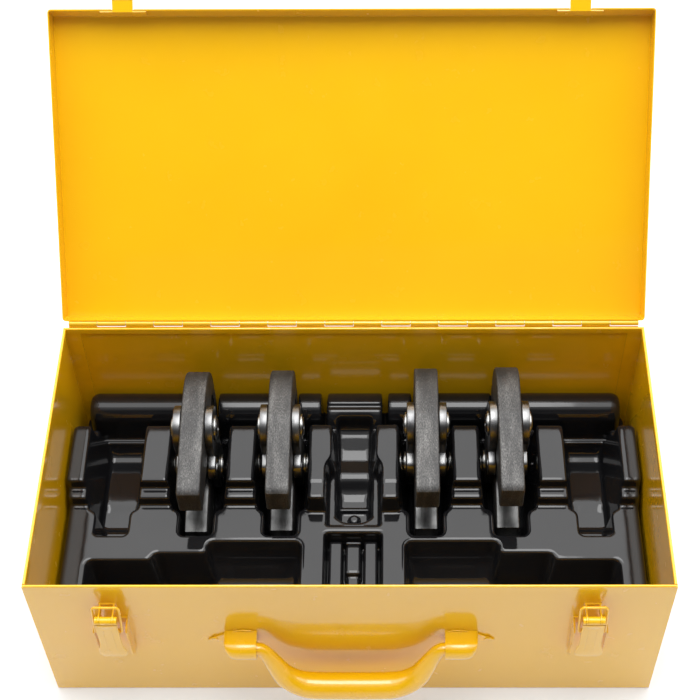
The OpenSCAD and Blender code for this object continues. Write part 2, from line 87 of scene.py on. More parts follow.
def noise(nodes, links, vector, scale, detail=2.0, roughness=0.5):
    n = nodes.new("ShaderNodeTexNoise")
    n.inputs["Scale"].default_value = scale
    n.inputs["Detail"].default_value = detail
    n.inputs["Roughness"].default_value = roughness
    links.new(vector, n.inputs["Vector"])
    return n.outputs["Fac"]


def ramp(nodes, links, factor, stops):
    r = nodes.new("ShaderNodeValToRGB")
    r.color_ramp.elements[0].position = stops[0][0]
    r.color_ramp.elements[0].color = (*stops[0][1], 1)
    r.color_ramp.elements[1].position = stops[-1][0]
    r.color_ramp.elements[1].color = (*stops[-1][1], 1)
    for position, colour in stops[1:-1]:
        r.color_ramp.elements.new(position).color = (*colour, 1)
    links.new(factor, r.inputs["Fac"])
    return r.outputs["Color"]


def grey_range(nodes, links, factor, low, high):
    m = nodes.new("ShaderNodeMapRange")
    m.inputs["To Min"].default_value = low
    m.inputs["To Max"].default_value = high
    links.new(factor, m.inputs["Value"])
    return m.outputs["Result"]


def bump(nodes, links, shader, layers, normal_input="Normal"):
    """Stacks bumps; each layer is (height output, strength, distance in metres)."""
    last = None
    for height, strength, distance in layers:
        b = nodes.new("ShaderNodeBump")
        b.inputs["Strength"].default_value = strength
        b.inputs["Distance"].default_value = distance
        links.new(height, b.inputs["Height"])
        if last:
            links.new(last, b.inputs["Normal"])
        last = b.outputs["Normal"]
    links.new(last, shader.inputs[normal_input])


def paint_material():
    mat, nodes, links, shader = node_material("yellow_paint")
    at = object_coordinates(nodes, links)
    tone = noise(nodes, links, at, 6, 3)
    links.new(
        ramp(nodes, links, tone, [(0.3, (0.88, 0.475, 0.0015)), (0.7, (0.93, 0.515, 0.003))]),
        shader.inputs["Base Color"],
    )
    wear = noise(nodes, links, at, 60, 4)
    links.new(grey_range(nodes, links, wear, 0.22, 0.3), shader.inputs["Roughness"])
    shader.inputs["Coat Weight"].default_value = 1.0
    shader.inputs["Coat Roughness"].default_value = 0.05
    peel = noise(nodes, links, at, 420, 1)
    sag = noise(nodes, links, at, 35, 1)
    bump(nodes, links, shader, [(peel, 0.10, 0.0002), (sag, 0.10, 0.0012)])
    return mat


def insert_material():
    mat, nodes, links, shader = node_material("black_formed_sheet")
    at = object_coordinates(nodes, links)
    tone = noise(nodes, links, at, 14, 3)
    links.new(
        ramp(nodes, links, tone, [(0.3, (0.006, 0.006, 0.007)), (0.7, (0.011, 0.011, 0.012))]),
        shader.inputs["Base Color"],
    )
    haze = noise(nodes, links, at, 22, 4)
    links.new(grey_range(nodes, links, haze, 0.04, 0.1), shader.inputs["Roughness"])
    shader.inputs["IOR"].default_value = 1.5
    waves = noise(nodes, links, at, 45, 1)
    grain = noise(nodes, links, at, 900, 1)
    bump(nodes, links, shader, [(waves, 0.1, 0.001), (grain, 0.02, 0.0002)])
    return mat


def forged_material():
    mat, nodes, links, shader = node_material("phosphated_forging")
    at = object_coordinates(nodes, links, (2.6, 0.5, 0.5))
    grit = noise(nodes, links, at, 1100, 4, 0.7)
    patches = noise(nodes, links, at, 60, 3)
    mix = nodes.new("ShaderNodeMath")
    mix.operation = "MULTIPLY_ADD"
    mix.inputs[1].default_value = 0.35
    links.new(patches, mix.inputs[0])
    links.new(grit, mix.inputs[2])
    links.new(
        ramp(
            nodes, links, mix.outputs[0],
            [(0.42, (0.022, 0.022, 0.024)), (0.68, (0.062, 0.061, 0.06)),
             (0.9, (0.2, 0.196, 0.19))],
        ),
        shader.inputs["Base Color"],
    )
    shader.inputs["Metallic"].default_value = 0.75
    links.new(grey_range(nodes, links, grit, 0.38, 0.6), shader.inputs["Roughness"])
    coarse = noise(nodes, links, at, 420, 3, 0.6)
    bump(nodes, links, shader, [(coarse, 0.4, 0.0006), (grit, 0.5, 0.0002)])
    return mat


def ground_material(name="ground_steel", low=(0.12, 0.12, 0.124), high=(0.27, 0.27, 0.266)):
    mat, nodes, links, shader = node_material(name)
    at = object_coordinates(nodes, links, (900, 60, 60))
    streak = noise(nodes, links, at, 1, 3)
    plain = object_coordinates(nodes, links)
    stain = noise(nodes, links, plain, 70, 4)
    links.new(ramp(nodes, links, stain, [(0.3, low), (0.7, high)]), shader.inputs["Base Color"])
    shader.inputs["Metallic"].default_value = 1.0
    links.new(grey_range(nodes, links, streak, 0.22, 0.4), shader.inputs["Roughness"])
    bump(nodes, links, shader, [(streak, 0.2, 0.0001), (stain, 0.08, 0.0004)])
    return mat


def floor_material():
    mat, nodes, links, shader = node_material("pale_floor")
    at = object_coordinates(nodes, links)
    split = nodes.new("ShaderNodeSeparateXYZ")
    links.new(at, split.inputs["Vector"])
    # painted shade: ramp from y = -0.5 m to -0.12 m that darkens the floor in front of the case
    painted_shade_falloff = nodes.new("ShaderNodeMapRange")
    painted_shade_falloff.inputs["From Min"].default_value = -0.5
    painted_shade_falloff.inputs["From Max"].default_value = -0.12
    links.new(split.outputs["Y"], painted_shade_falloff.inputs["Value"])
    # painted shade: the floor's colour and glow darken in front of the case, standing in for the
    # light falling off there
    for socket, shade_front, shade_back in (
        ("Base Color", 0.45, 0.59), ("Emission Color", 0.8, 1.0),
    ):
        tones = [(0, (shade_front,) * 3), (1, (shade_back,) * 3)]
        links.new(ramp(nodes, links, painted_shade_falloff.outputs["Result"], tones), shader.inputs[socket])
    shader.inputs["Roughness"].default_value = 0.8
    shader.inputs["Emission Strength"].default_value = 0.34
    return mat


PAINT = paint_material()
BLACK = insert_material()
FORGED = forged_material()
GROUND = ground_material()
DULL = ground_material("zinc_steel", (0.3, 0.3, 0.29), (0.5, 0.5, 0.48))
TRACK = ground_material("worn_track", (0.035, 0.035, 0.035), (0.12, 0.12, 0.118))
SPRING = ground_material("spring_steel", (0.12, 0.12, 0.12), (0.22, 0.22, 0.22))
FLOOR = floor_material()


def mesh_object(name, vertices, faces, material, smooth=True):
    mesh = bpy.data.meshes.new(name)
    mesh.from_pydata([tuple(v) for v in vertices], [], [tuple(f) for f in faces])
    mesh.validate()
    mesh.materials.append(material)
    obj = bpy.data.objects.new(name, mesh)
    scene.collection.objects.link(obj)
    mesh.polygons.foreach_set("use_smooth", [smooth] * len(mesh.polygons))
    return obj


def add_floor():
    wide, behind = 30, 6
    floor = mesh_object(
        "floor", [(-wide, -wide, 0), (wide, -wide, 0), (wide, behind, 0), (-wide, behind, 0)],
        [(0, 1, 2, 3)], FLOOR,
    )


def area_light(name, place, target, size, power, colour=(1, 1, 1)):
    data = bpy.data.lights.new(name, "AREA")
    data.shape = "RECTANGLE"
    data.size, data.size_y = size
    data.energy = power
    data.color = colour
    obj = bpy.data.objects.new(name, data)
    scene.collection.objects.link(obj)
    obj.location = place
    obj.rotation_euler = (Vector(target) - Vector(place)).to_track_quat("-Z", "Y").to_euler()
    return obj


def add_lights():
    """Bright overhead and behind, dark on the camera's side, like the photographer's studio."""
    scene.view_settings.view_transform = "Standard"
    world = bpy.data.worlds.new("studio")
    scene.world = world
    world.use_nodes = True
    nodes, links = world.node_tree.nodes, world.node_tree.links
    coords = nodes.new("ShaderNodeTexCoord")
    split = nodes.new("ShaderNodeSeparateXYZ")
    links.new(coords.outputs["Generated"], split.inputs["Vector"])
    back = nodes.new("ShaderNodeMath")
    back.operation = "MULTIPLY"
    back.inputs[1].default_value = 0.75
    links.new(split.outputs["Y"], back.inputs[0])
    both = nodes.new("ShaderNodeMath")
    both.operation = "ADD"
    links.new(split.outputs["Z"], both.inputs[0])
    links.new(back.outputs[0], both.inputs[1])
    fade = nodes.new("ShaderNodeMapRange")
    fade.interpolation_type = "SMOOTHSTEP"
    fade.inputs["From Min"].default_value = 0.1
    fade.inputs["From Max"].default_value = 0.75
    fade.inputs["To Min"].default_value = 0.05
    fade.inputs["To Max"].default_value = 1.0
    links.new(both.outputs[0], fade.inputs["Value"])
    horizon = nodes.new("ShaderNodeMapRange")
    horizon.interpolation_type = "SMOOTHSTEP"
    horizon.inputs["From Min"].default_value = 0.06
    horizon.inputs["From Max"].default_value = 0.3
    horizon.inputs["To Min"].default_value = 0.7
    horizon.inputs["To Max"].default_value = 0.05
    links.new(split.outputs["Z"], horizon.inputs["Value"])
    brighter = nodes.new("ShaderNodeMath")
    brighter.operation = "MAXIMUM"
    links.new(fade.outputs["Result"], brighter.inputs[0])
    links.new(horizon.outputs["Result"], brighter.inputs[1])
    nodes["Background"].inputs["Color"].default_value = (1, 1, 1, 1)
    links.new(brighter.outputs[0], nodes["Background"].inputs["Strength"])
    area_light("overhead", (0, 0.7, 2.3), (0, 0.7, 0), (6.5, 2.7), 99)
    area_light("front_panel", (0.15, -2.5, 1.5), (0, 0, 0.2), (1.7, 0.8), 0.3)
    area_light("hot_panel", (0.05, 0.15, 2.25), (0.05, 0.15, 0), (0.8, 1.7), 19)
    area_light("left_box", (-2.3, -1.0, 1.0), (0, 0, 0.2), (0.8, 0.8), 0.5)
    area_light("right_box", (2.3, -1.0, 1.0), (0, 0, 0.2), (0.8, 0.8), 0.5)


add_floor()
add_lights()

# ------------------------------------------------------------------ insert

TRAY_X = 245.5
TRAY_FRONT = -126.5
TRAY_BACK = 127.0
SLOTS = (62.5, 134.5, 207.2)
SLOT_HALVES = (23.2, 25.2, 24.2)
NOTCHES = (62.2, 133.8)
TONGS = (-135.2, -61.8, 62.5, 132.3)


def soft_max(a, b, k):
    h = np.maximum(k - np.abs(a - b), 0) / k
    return np.maximum(a, b) + h * h * k / 4


def soft_min(a, b, k):
    return -soft_max(-a, -b, k)


def plan(x, y, box, r):
    """Signed distance in plan to a rectangle (x0, x1, y0, y1) with rounded corners."""
    x0, x1, y0, y1 = box
    qx = np.abs(x - (x0 + x1) / 2) - ((x1 - x0) / 2 - r)
    qy = np.abs(y - (y0 + y1) / 2) - ((y1 - y0) / 2 - r)
    outside = np.hypot(np.maximum(qx, 0), np.maximum(qy, 0))
    return outside + np.minimum(np.maximum(qx, qy), 0) - r


def mound(x, y, z, box, r, top, draft=5, k=6):
    lean = math.tan(math.radians(draft))
    return soft_max((plan(x, y, box, r) - (top - z) * lean), z - top, k)


def pit(x, y, z, box, r, floor, top, draft=5, k=8):
    lean = math.tan(math.radians(draft))
    return soft_max(plan(x, y, box, r) + (top - z) * lean, floor - z, k)


def slope(y, z, edge, height, rise=1.0):
    """Negative on the front side of a plane that leans back from (edge, height)."""
    return ((y - edge) * rise - (z - height)) / math.hypot(1, rise)


def insert_field(x, y, z):
    """Negative inside the insert, for x >= 0; the other half mirrors it. Millimetres."""
    # outer body, step and dividers
    solid = mound(x, y, z, (-TRAY_X, TRAY_X, TRAY_FRONT, 90), 10, 75, 3, 5)
    solid = soft_min(solid, mound(x, y, z, (-TRAY_X, TRAY_X, -60, TRAY_BACK), 10, 50, 2, 5), 4)
    solid = soft_min(solid, mound(x, y, z, (-TRAY_X, TRAY_X, 8.5, 79), 4, 85, 4, 3), 2.5)
    solid = soft_min(solid, mound(x, y, z, (-TRAY_X - 1, TRAY_X + 1, 19.5, 79), 4, 95, 4, 2.5), 2.5)
    solid = soft_min(solid, mound(x, y, z, (-39.8, 39.8, 2, 79), 4, 95, 4, 2.5), 2.5)
    # rounded bar along the back, and the thicker piece in its middle
    bar = np.hypot(y - 112.5, z - 73) - 15
    skirt = np.maximum(np.abs(y - 112.5) - 15 - (73 - z) * 0.05, z - 73)
    bar = np.minimum(bar, skirt)
    outer = x - 238 - (88 - z) * 0.03
    inner = 30 - x - (88 - z) * 0.03
    bar = soft_max(soft_max(bar, outer, 9), inner, 2.5)
    hub = np.hypot(y - 108.5, z - 71.5) - 19
    hub_skirt = np.maximum(np.abs(y - 108.5) - 19 - (71.5 - z) * 0.05, z - 71.5)
    hub = soft_max(np.minimum(hub, hub_skirt), x - 24.6 - (88 - z) * 0.03, 3)
    groove = np.hypot(y - 103.5, z - 90.5) - 2.6
    hub = soft_max(hub, -groove, 1.5)
    solid = soft_min(solid, soft_min(bar, hub, 2), 3)
    # slots, with a narrower neck for the tong's tail
    cut = None
    for xc, half in zip(SLOTS, SLOT_HALVES):
        wide = pit(x, y, z, (xc - half, xc + half, 1, 98), 6, 36, 95, 8.5, 3.5)
        wide = soft_max(wide, slope(y, z, 84, 36), 4)
        neck = pit(x, y, z, (xc - 14.6, xc + 14.6, -23, 30), 5, 36, 80, 3, 3.5)
        slot = soft_min(wide, neck, 8)
        cut = slot if cut is None else np.minimum(cut, slot)
    for xc in NOTCHES:
        notch = pit(x, y, z, (xc - 11.5, xc + 11.5, 80, 127.5), 2, 44, 95, 0.3, 2)
        cut = soft_min(cut, notch, 1.5)
    # front pockets with a stepped back edge
    front = -116
    p3 = pit(x, y, z, (44, 124, front, -28.5), 6, 34, 75, 9, 5)
    p3 = soft_max(p3, slope(y, z, -42, 40, 1.3), 5)
    p2 = pit(x, y, z, (112, 170, front, -40), 6, 29, 75, 9, 8)
    p1 = pit(x, y, z, (160, 225, front, -47), 6, 27, 75, 9, 8)
    cut = np.minimum(cut, soft_min(soft_min(p3, p2, 5), p1, 5))
    # bed for the machine: neck, wide part with a bowl in it, and a trough with three strips
    neck = pit(x, y, z, (-15.8, 15.8, 20, 96), 3, 56, 95, 3, 3)
    neck = soft_max(neck, slope(y, z, 72, 56, 0.55), 3)
    wide = pit(x, y, z, (-24.6, 24.6, -14, 50), 4, 63, 95, 4, 4)
    wide = soft_max(wide, (x * 0.8 + (y - 50) * 0.6) - 12.6, 3)
    bowl = np.maximum(np.hypot(np.maximum(x - 3, 0), np.minimum(y - 14, 0)), x + 0.3) - 17.2
    bowl = soft_max(bowl, slope(y, z, 41, 44, 1.0), 4)
    bowl = soft_max(bowl - (74 - z) * -0.12, 44.5 - z, 5)
    trough = pit(x, y, z, (-24.4, 24.4, -118, -20), 3, 50, 75, 3, 3)
    bed = soft_min(soft_min(neck, wide, 3), bowl, 3)
    bed = soft_min(bed, trough, 3)
    cut = np.minimum(cut, bed)
    solid = soft_max(solid, -cut, 2.5)
    side = soft_max(plan(x, y, (9.3, 20.8, -112, -23), 2), z - 66, 2.5)
    middle = soft_max(plan(x, y, (-6.4, 6.4, -56, -27), 2.5), z - 66, 2.5)
    tail = soft_max(plan(x, y, (-5.2, 5.2, -112, -50), 2), z - 62, 2.5)
    strips = np.minimum(np.minimum(side, middle), tail)
    solid = soft_min(solid, strips, 2)
    for yc, x0, x1, top in ((-9, 9.5, 20.5, 65), (-14.2, 8, 20.5, 66), (-19.2, 8, 20.5, 66.5)):
        lip = np.maximum(np.hypot(y - yc, np.maximum(z - top + 1.9, 0)) - 1.9, x - x1)
        solid = soft_min(solid, np.maximum(lip, x0 - x), 1.5)
    for yc, top in ((-17.5, 60), (-23.5, 64)):
        lip = np.maximum(np.hypot(y - yc, np.maximum(z - top + 1.9, 0)) - 1.9, x - 6.5)
        solid = soft_min(solid, lip, 1.5)
    # ridge across the bowl, and the boss in front of it
    ridge = np.hypot(y - 20.5, np.maximum(z - 47, 0)) - 1.6
    solid = soft_min(solid, np.maximum(ridge, x - 16), 2)
    boss = soft_max(np.hypot(x, y - 10) - 4.6, z - 50, 1.5)
    solid = soft_min(solid, boss, 1.5)
    # trimmed to clear the case's walls
    return np.maximum(solid, np.maximum(np.abs(y) - 127.4, x - 246.5))


def surface_net(values, low, step):
    """Vertices and quads of the surface where a 3-D array of values crosses zero."""
    sign = values < 0
    count = np.zeros([n - 1 for n in values.shape], np.int8)
    for i in (0, 1):
        for j in (0, 1):
            for k in (0, 1):
                count += sign[
                    i:sign.shape[0] - 1 + i, j:sign.shape[1] - 1 + j, k:sign.shape[2] - 1 + k
                ]
    active = (count > 0) & (count < 8)
    cells = np.argwhere(active)
    index = np.full(active.shape, -1, np.int64)
    index[active] = np.arange(len(cells))
    corners = [(i, j, k) for i in (0, 1) for j in (0, 1) for k in (0, 1)]
    at = {
        c: values[cells[:, 0] + c[0], cells[:, 1] + c[1], cells[:, 2] + c[2]] for c in corners
    }
    total = np.zeros((len(cells), 3))
    hits = np.zeros(len(cells))
    for a in corners:
        for axis in range(3):
            if a[axis]:
                continue
            b = tuple(1 if n == axis else a[n] for n in range(3))
            fa, fb = at[a], at[b]
            crossing = (fa < 0) != (fb < 0)
            t = np.where(crossing, fa / np.where(crossing, fa - fb, 1), 0)
            point = np.array(a, float)[None, :].repeat(len(cells), 0)
            point[:, axis] += t
            total += point * crossing[:, None]
            hits += crossing
    vertices = (cells + total / hits[:, None]) * step + np.array(low)
    faces = []
    for axis in range(3):
        u, v = [n for n in range(3) if n != axis]
        lo = [slice(1, -1)] * 3
        lo[axis] = slice(0, -1)
        hi = list(lo)
        hi[axis] = slice(1, None)
        s0, s1 = sign[tuple(lo)], sign[tuple(hi)]
        at_edge = np.argwhere(s0 != s1)
        flip = s0[tuple(at_edge.T)]
        base = at_edge.copy()
        base[:, u] += 1
        base[:, v] += 1
        quad = []
        for du, dv in ((-1, -1), (0, -1), (0, 0), (-1, 0)):
            cell = base.copy()
            cell[:, u] += du
            cell[:, v] += dv
            quad.append(index[tuple(cell.T)])
        quad = np.stack(quad, 1)
        if axis == 1:
            flip = ~flip
        quad[~flip] = quad[~flip][:, ::-1]
        faces.append(quad)
    return vertices, np.concatenate(faces)


def build_insert():
    step = 1.25
    nx, half_y, z0, nz = 199, 130, 25.0, 58
    xs = np.arange(nx) * step
    ys = np.arange(-half_y, half_y + step, step)
    zs = z0 + np.arange(nz) * step
    x, y, z = np.meshgrid(xs, ys, zs, indexing="ij")
    values = insert_field(x, y, z)
    values = np.concatenate([values[:0:-1], values])
    vertices, faces = surface_net(values, (-(nx - 1) * step, ys[0], z0), step)
    obj = mesh_object("insert_sheet", vertices * MM, faces, BLACK)
    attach(obj, "case")
    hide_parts("insert_tray")


build_insert()

# ------------------------------------------------------------------ outlines and plates


def arc(centre, r, start, end, steps=24):
    """Points of an arc about centre, from start to end in degrees."""
    angles = np.radians(np.linspace(start, end, steps + 1))
    return [(centre[0] + r * math.cos(a), centre[1] + r * math.sin(a)) for a in angles]


def round_corners(points, steps=5):
    """Closed outline from (u, v, radius) corners, with each corner rounded by its radius."""
    out = []
    n = len(points)
    for i, (u, v, r) in enumerate(points):
        p = Vector((u, v))
        before = Vector(points[i - 1][:2]) - p
        after = Vector(points[(i + 1) % n][:2]) - p
        if r <= 0:
            out.append((u, v))
            continue
        angle = before.angle(after)
        painted_shade_falloff = min(r / math.tan(angle / 2), before.length * 0.49, after.length * 0.49)
        a, b = p + before.normalized() * painted_shade_falloff, p + after.normalized() * painted_shade_falloff
        for k in range(steps + 1):
            t = k / steps
            q = a * (1 - t) ** 2 + p * 2 * t * (1 - t) + b * t ** 2
            out.append((q.x, q.y))
    return out


def plate(name, loops, thickness, edge, material, segments=3):
    """A flat piece in the plane (Y, Z), as thick as given along X, with rounded edges."""
    curve = bpy.data.curves.new(name, "CURVE")
    curve.dimensions = "2D"
    curve.fill_mode = "BOTH"
    curve.extrude = (thickness / 2 - edge) * MM
    curve.bevel_depth = edge * MM
    curve.bevel_resolution = segments
    curve.offset = -edge * MM
    for loop in loops:
        spline = curve.splines.new("POLY")
        spline.points.add(len(loop) - 1)
        for point, (u, v) in zip(spline.points, loop):
            point.co = (u * MM, v * MM, 0, 1)
        spline.use_cyclic_u = True
    temp = bpy.data.objects.new(name, curve)
    mesh = bpy.data.meshes.new_from_object(temp)
    bpy.data.objects.remove(temp)
    bpy.data.curves.remove(curve)
    # curve plane (x, y, z) to (Y, Z, X)
    mesh.transform(Matrix(((0, 0, 1, 0), (1, 0, 0, 0), (0, 1, 0, 0), (0, 0, 0, 1))))
    bm = bmesh.new()
    bm.from_mesh(mesh)
    bmesh.ops.remove_doubles(bm, verts=bm.verts, dist=1e-6)
    bmesh.ops.recalc_face_normals(bm, faces=bm.faces)
    bm.to_mesh(mesh)
    bm.free()
    mesh.materials.clear()
    mesh.materials.append(material)
    obj = bpy.data.objects.new(name, mesh)
    scene.collection.objects.link(obj)
    shade(obj)
    return obj


def shade(obj, angle=35):
    """Smooth shading that keeps edges sharper than the angle."""
    mesh = obj.data
    bm = bmesh.new()
    bm.from_mesh(mesh)
    limit = math.radians(angle)
    for edge in bm.edges:
        if len(edge.link_faces) == 2:
            edge.smooth = edge.calc_face_angle(0) < limit
    for face in bm.faces:
        face.smooth = True
    bm.to_mesh(mesh)
    bm.free()


def lathe(name, profile, material, steps=48):
    """Turns (distance along X, radius) points about X. Closed at both ends."""
    vertices, faces = [], []
    for along, r in profile:
        for k in range(steps):
            a = 2 * math.pi * k / steps
            vertices.append((along * MM, r * math.cos(a) * MM, r * math.sin(a) * MM))
    rows = len(profile)
    for i in range(rows - 1):
        for k in range(steps):
            m = (k + 1) % steps
            faces.append((i * steps + k, (i + 1) * steps + k, (i + 1) * steps + m, i * steps + m))
    faces.append(tuple(range(steps)))
    faces.append(tuple((rows - 1) * steps + k for k in reversed(range(steps))))
    obj = mesh_object(name, vertices, faces, material)
    bm = bmesh.new()
    bm.from_mesh(obj.data)
    bmesh.ops.recalc_face_normals(bm, faces=bm.faces)
    bm.to_mesh(obj.data)
    bm.free()
    shade(obj)
    return obj


def tube(name, path, radii, material, sides=20):
    """A round bar along points in millimetres, with a radius at each."""
    points = [Vector(p) for p in path]
    radii = list(radii) if hasattr(radii, "__len__") else [radii] * len(points)
    n = len(points)
    vertices, faces = [], []
    normal = None
    for i, p in enumerate(points):
        before = points[i - 1] if i else p
        after = points[i + 1] if i < n - 1 else p
        ahead = (after - before).normalized()
        if normal is None:
            normal = ahead.orthogonal().normalized()
        normal = (normal - ahead * normal.dot(ahead)).normalized()
        side = ahead.cross(normal)
        for k in range(sides):
            a = 2 * math.pi * k / sides
            q = p + (normal * math.cos(a) + side * math.sin(a)) * radii[i]
            vertices.append(q * MM)
    for i in range(n - 1):
        j = i + 1
        for k in range(sides):
            m = (k + 1) % sides
            faces.append((i * sides + k, i * sides + m, j * sides + m, j * sides + k))
    faces.append(tuple(reversed(range(sides))))
    faces.append(tuple((n - 1) * sides + k for k in range(sides)))
    return mesh_object(name, vertices, faces, material)


def smooth_path(points, per_span=6):
    """Catmull-Rom curve through the points, as a longer list of points."""
    p = [Vector(v) for v in points]
    p = [2 * p[0] - p[1]] + p + [2 * p[-1] - p[-2]]
    out = []
    for i in range(1, len(p) - 2):
        for k in range(per_span):
            t = k / per_span
            a, b, c, d = p[i - 1:i + 3]
            out.append(
                0.5 * (2 * b + (c - a) * t + (2 * a - 5 * b + 4 * c - d) * t ** 2
                       + (3 * b - a - 3 * c + d) * t ** 3)
            )
    out.append(p[-2])
    return out


# ------------------------------------------------------------------ tongs

PIN = 32.5
LEVER_T = 20
PLATE_T = 6.5
PLATE_X = 10.3
TONGS_YZ = ((55.8, 93.5), (56.6, 94.3), (57.2, 96), (57.7, 97))
TILT = 5
MOUTHS = (14, 11, 9, 7.5)


def tong_place(number, flip=False):
    """Matrix that puts a tong part drawn about its own centre into the case."""
    turn = Matrix.Rotation(math.radians(TILT), 4, "X")
    move = Matrix.Translation(Vector((TONGS[number - 1], *TONGS_YZ[number - 1])) * MM)
    mirror = Matrix.Diagonal((1, 1, -1 if flip else 1, 1))
    return move @ turn @ mirror


def apply(obj, matrix):
    obj.data.transform(matrix)
    if matrix.determinant() < 0:
        obj.data.flip_normals()
    return obj


def jaw_loop(mouth):
    """Outline of the upper jaw in (Y, Z), counter-clockwise."""
    m0 = 38 - math.sqrt(mouth ** 2 - 0.2 ** 2)
    loop = [(-73, 18.8), (-62, 16.9), (-50, 15.2), (-40, 14), (-26, 12.2), (-4, 12), (5, 10.2)]
    loop += [(14, 0.2), (m0, 0.2)]
    loop += arc((38, 0), mouth, 180, 0, 28)[1:-1]
    loop += [(76 - m0, 0.2), (60.5, 0.2), (62.6, 1.6), (63.5, 4)]
    loop += [(63.4, 12), (62.6, 19), (60.6, 26), (57.3, 32.5), (52.6, 38.6), (46.5, 43.8)]
    loop += [(39, 47.9), (30, 50.5), (20, 51.8), (10, 52.3)]
    loop += arc((0, PIN), 20, 88, 100, 4)
    loop += [(-12, 51.6), (-25, 50.6), (-40, 49.6), (-55, 48.2), (-66, 47), (-70, 46.1)]
    loop += [(-72.4, 44.2), (-73, 41.5)]
    return loop


def join(name, objects):
    """One object from several, in place."""
    bm = bmesh.new()
    materials = []
    for obj in objects:
        offset = []
        for mat in obj.data.materials:
            if mat not in materials:
                materials.append(mat)
            offset.append(materials.index(mat))
        start = len(bm.faces)
        bm.from_mesh(obj.data)
        bm.faces.ensure_lookup_table()
        for face in bm.faces[start:]:
            face.material_index = offset[face.material_index]
    mesh = bpy.data.meshes.new(name)
    bm.to_mesh(mesh)
    bm.free()
    for mat in materials:
        mesh.materials.append(mat)
    for obj in objects:
        old = obj.data
        bpy.data.objects.remove(obj)
        bpy.data.meshes.remove(old)
    out = bpy.data.objects.new(name, mesh)
    scene.collection.objects.link(out)
    return out


def build_tong(number, mouth):
    body = f"tong_{number}"
    for flip, word in ((False, "upper"), (True, "lower")):
        hole = arc((0, PIN), 8.06, 0, 360, 48)[:-1]
        jaw = plate(
            f"jaw_{word}_{number}", [jaw_loop(mouth), hole], LEVER_T, 1.6, FORGED, 3
        )
        jaw.data.materials.append(TRACK)
        for face in jaw.data.polygons:
            c, n = face.center / MM, face.normal
            track = c.y < -8 and c.z < 21 and n.z < -0.8
            bite = math.hypot(c.y - 38, c.z) < mouth + 1.2 and abs(n.x) < 0.9 and c.z > 0.3
            if track or bite:
                face.material_index = 1
        apply(jaw, tong_place(number, flip))
        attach(jaw, f"tong_{number}_{word}")
        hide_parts(f"tong_{number}_{word}_jaw")
    outline = (
        arc((0, PIN), 19, -10, 190, 40)
        + [(-16, 12), (-24, 10)]
        + arc((-16, 0), 14, 140, 220, 12)
        + [(-24, -10), (-16, -12)]
        + arc((0, -PIN), 19, 170, 370, 40)
        + [(14.5, -14), (14, 0), (14.5, 14)]
    )
    holes = [
        arc((0, PIN), 8.02, 0, 360, 40)[:-1],
        arc((0, -PIN), 8.02, 0, 360, 40)[:-1],
        arc((-16, 0), 7.1, 0, 360, 40)[:-1],
    ]
    for side, word in ((-1, "left"), (1, "right")):
        wall = plate(f"side_plate_{word}_{number}", [outline] + holes, PLATE_T, 0.7, GROUND, 2)
        wall.data.transform(Matrix.Translation((side * (PLATE_X + PLATE_T / 2) * MM, 0, 0)))
        apply(wall, tong_place(number))
        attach(wall, body)
        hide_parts(f"tong_{number}_plate_{word}")
    end = PLATE_X + PLATE_T + 3
    pins, rings = [], []
    for z in (PIN, -PIN):
        profile = [(-end, 3.2), (-end, 7.1), (-end + 0.9, 8)]
        profile += [(end - 0.9, 8), (end, 7.1), (end, 3.2)]
        profile = [(-end + 1.6, 2.6)] + profile + [(end - 1.6, 2.6)]
        pin = lathe("pin", profile, GROUND)
        pin.data.transform(Matrix.Translation((0, 0, z * MM)))
        pins.append(pin)
        for side in (-1, 1):
            loop = arc((0, 0), 10.6, 14, 346, 40) + arc((0, 0), 8.05, 346, 14, 40)
            ring = plate("ring", [loop], 1.6, 0.3, DULL, 1)
            ring.data.transform(
                Matrix.Translation((side * (PLATE_X + PLATE_T + 0.9) * MM, 0, z * MM))
            )
            rings.append(ring)
    both = join(f"pivot_pins_{number}", pins)
    apply(both, tong_place(number))
    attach(both, body)
    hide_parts(f"tong_{number}_pins")
    all_rings = join(f"retaining_rings_{number}", rings)
    apply(all_rings, tong_place(number))
    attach(all_rings, body)
    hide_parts(f"tong_{number}_rings")
    turns = 4.5
    coil = []
    for k in range(109):
        a = 2 * math.pi * turns * k / 108 + math.pi / 2
        coil.append((-4 + 8 * k / 108, 1 + 5 * math.cos(a), 5 * math.sin(a)))
    legs = [(-3.6, -32, 9), (-4, -6, 5.5)] + coil + [(4, -6, -5.5), (3.6, -32, -9)]
    spring = tube(f"leg_spring_{number}", legs, 0.9, SPRING, 10)
    apply(spring, tong_place(number))
    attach(spring, body)
    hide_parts(f"tong_{number}_spring")


for number, mouth in enumerate(MOUTHS, 1):
    build_tong(number, mouth)

# ------------------------------------------------------------------ latches and handle

FRONT = -129.5
LATCH_X = 188
PIVOT_Y, PIVOT_Z = FRONT - 14, 141
BAIL_Z = 124
CURL = 3.3


def panel(name, loops, y_mid, thickness, edge, material, segments=2):
    """A flat piece in the plane (X, Z), as thick as given along Y."""
    obj = plate(name, loops, thickness, edge, material, segments)
    turn = Matrix(((0, 1, 0, 0), (-1, 0, 0, 0), (0, 0, 1, 0), (0, 0, 0, 1)))
    obj.data.transform(turn)
    obj.data.transform(Matrix.Translation((0, y_mid * MM, 0)))
    return obj


def moved(obj, x=0.0, y=0.0, z=0.0):
    obj.data.transform(Matrix.Translation((x * MM, y * MM, z * MM)))
    return obj


